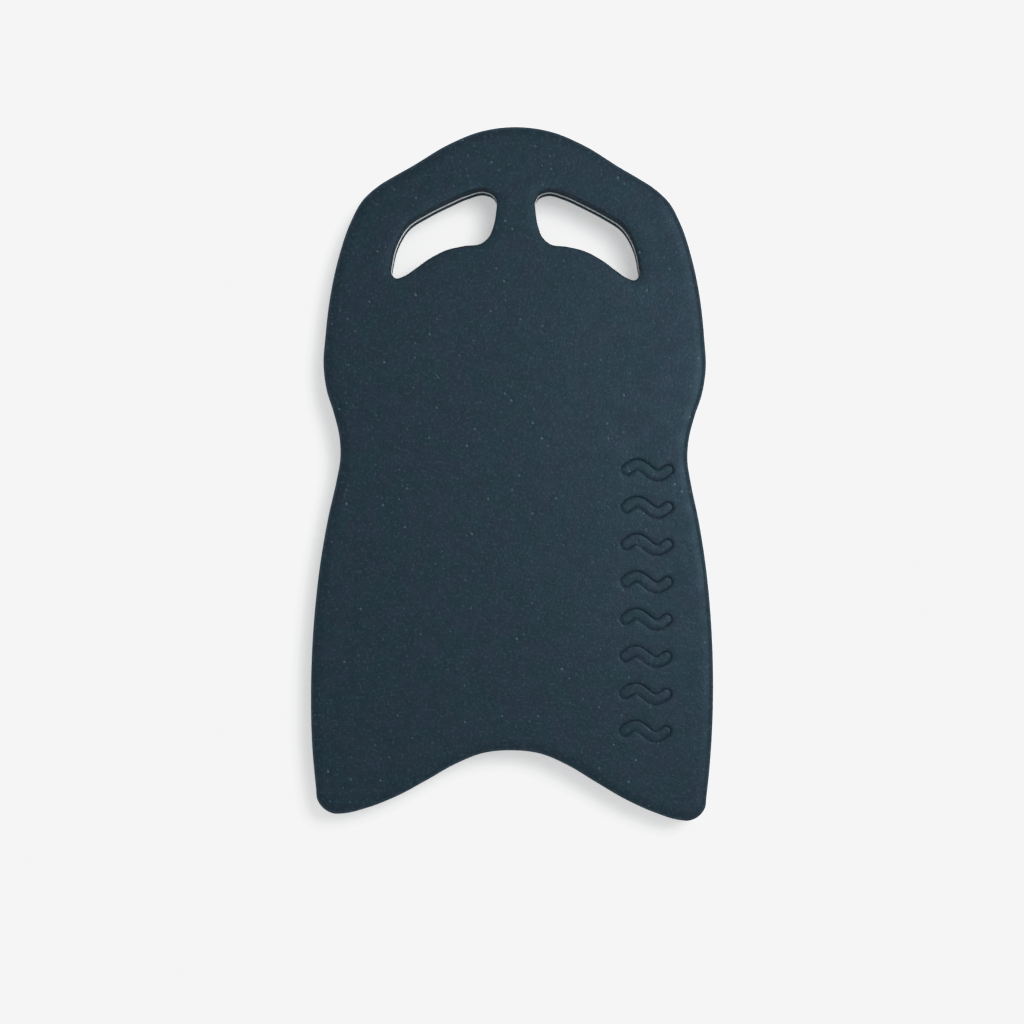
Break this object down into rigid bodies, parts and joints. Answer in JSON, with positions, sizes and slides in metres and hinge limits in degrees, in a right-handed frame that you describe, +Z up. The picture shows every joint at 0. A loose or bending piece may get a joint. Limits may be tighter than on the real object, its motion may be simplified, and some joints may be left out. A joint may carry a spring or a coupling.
{
  "type": "kickboard float",
  "caption": "Flat foam swimming board with a rounded nose, paired finger holes, a narrow waist, a notched tail and a sunk row of waves.",
  "frame": {"origin": "under the middle of the board's box, on the plane that its lower face rests on", "axes": "+Y along the board towards its rounded nose, +X to the right seen from above, +Z up through the board's thickness, out of the face with the sunk waves"},
  "size_m": [0.27, 0.4647, 0.034],
  "materials": {
    "navy_foam": "matte",
    "pale_foam": "matte"
  },
  "bodies": {
    "root": {"upper_foam_slab": "navy_foam", "pale_core_sheet": "pale_foam", "lower_foam_slab": "navy_foam"}
  },
  "joints": []
}
